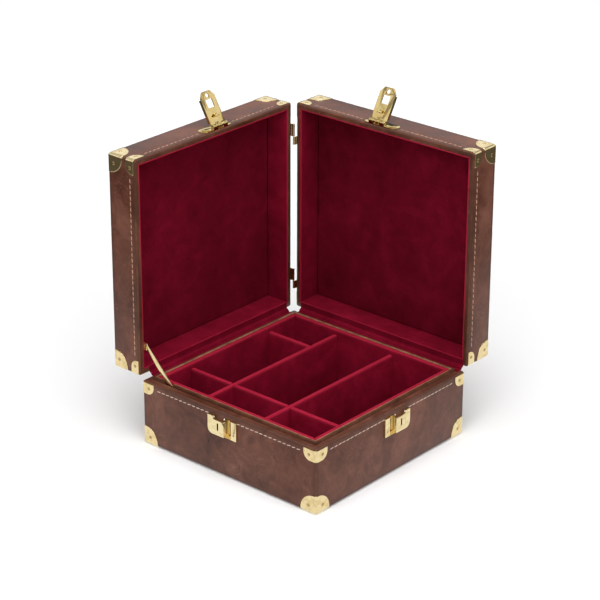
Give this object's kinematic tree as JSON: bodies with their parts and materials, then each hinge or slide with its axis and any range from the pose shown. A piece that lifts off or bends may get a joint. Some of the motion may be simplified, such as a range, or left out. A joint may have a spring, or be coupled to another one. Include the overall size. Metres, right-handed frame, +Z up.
{
  "type": "leather jewellery case",
  "caption": "Square leather-covered jewellery case: compartmented velvet tray, full-size velvet-lined lids hinged on adjacent edges, brass corners, locks with hasps, and a stay.",
  "frame": {"origin": "middle of the underside, on the table", "axes": "+Z up; the left lid is hinged on the tray's -X edge and the right lid on its +Y edge, and the locks are on the -Y and +X faces"},
  "size_m": [0.2624, 0.2624, 0.3229],
  "materials": {
    "leather": "satin, mottled brown, worn at the edges",
    "board": "plain",
    "lip": "satin, dark brown with a tan top",
    "velvet": "crimson pile",
    "brass": "polished, a little worn",
    "steel": "satin"
  },
  "bodies": {
    "tray": {"tray_walls": "board", "tray_bottom_board": "board", "tray_leather": "leather", "underside_panel": "leather", "locating_lip": "lip", "tray_lining": "velvet", "floor_pad": "velvet", "divider_long_left": "velvet", "divider_long_right": "velvet", "divider_cross_left": "velvet", "divider_cross_middle": "velvet", "divider_cross_right": "velvet", "divider_cross_back": "velvet", "tray_rim_corners": "brass", "tray_foot_corners": "brass", "tray_rivets": "brass", "front_left_lock": "brass", "front_right_lock": "brass", "lock_nails": "steel", "left_tray_leaves": "brass", "right_tray_leaves": "brass", "left_hinge_pins": "brass", "right_hinge_pins": "brass"},
    "left_lid": {"left_lid_walls": "board", "left_lid_board": "board", "left_lid_leather": "leather", "left_lid_lining": "velvet", "left_lid_pad": "velvet", "left_lid_leaves": "brass", "left_lid_rim_corners": "brass", "left_lid_caps": "brass", "left_lid_rivets": "brass", "left_corner_leaves": "brass", "left_hasp_plate": "brass", "left_hasp_pin": "brass", "stay_bracket": "brass", "stay_pin": "brass"},
    "right_lid": {"right_lid_walls": "board", "right_lid_board": "board", "right_lid_leather": "leather", "right_lid_lining": "velvet", "right_lid_pad": "velvet", "right_lid_leaves": "brass", "right_lid_rim_corners": "brass", "right_lid_caps": "brass", "right_lid_rivets": "brass", "right_corner_leaves": "brass", "right_hasp_plate": "brass", "right_hasp_pin": "brass"},
    "left_hasp": {"left_hasp": "brass"},
    "right_hasp": {"right_hasp": "brass"},
    "stay": {"stay_arm": "brass"},
    "front_left_bolt": {"front_left_bolt": "steel"},
    "front_right_bolt": {"front_right_bolt": "steel"},
    "corner_pin_lower": {"corner_pin_lower": "brass"},
    "corner_pin_upper": {"corner_pin_upper": "brass"}
  },
  "joints": [
    {"name": "left_lid_hinge", "type": "hinge", "parent": "tray", "child": "left_lid", "pos_m": [-0.113, 0, 0.067], "axis": [0, 1, 0], "range_deg": [0, 90]},
    {"name": "right_lid_hinge", "type": "hinge", "parent": "tray", "child": "right_lid", "pos_m": [0, 0.113, 0.067], "axis": [-1, 0, 0], "range_deg": [-80, 0]},
    {"name": "stay_pivot", "type": "hinge", "parent": "left_lid", "child": "stay", "pos_m": [-0.113, -0.10135, 0.099], "axis": [0, 1, 0], "range_deg": [-45, 0]},
    {"name": "left_hasp_hinge", "type": "hinge", "parent": "left_lid", "child": "left_hasp", "pos_m": [-0.1163, 0.0088, 0.293], "axis": [0, 1, 0], "range_deg": [0, 120]},
    {"name": "right_hasp_hinge", "type": "hinge", "parent": "right_lid", "child": "right_hasp", "pos_m": [-0.0088, 0.1163, 0.293], "axis": [-1, 0, 0], "range_deg": [-120, 0]},
    {"name": "front_left_bolt_slide", "type": "slide", "parent": "tray", "child": "front_left_bolt", "axis": [-1, 0, 0], "range_m": [-0.0042, 0]},
    {"name": "front_right_bolt_slide", "type": "slide", "parent": "tray", "child": "front_right_bolt", "axis": [0, -1, 0], "range_m": [0, 0.0042]},
    {"name": "corner_pin_lower_slide", "type": "slide", "parent": "left_lid", "child": "corner_pin_lower", "axis": [0, 0, 1], "range_m": [-0.008, 0]},
    {"name": "corner_pin_upper_slide", "type": "slide", "parent": "left_lid", "child": "corner_pin_upper", "axis": [0, 0, 1], "range_m": [-0.008, 0]}
  ],
  "couplings": [
    {"joint": "stay_pivot", "follows": "left_lid_hinge", "ratio": -0.5}
  ]
}
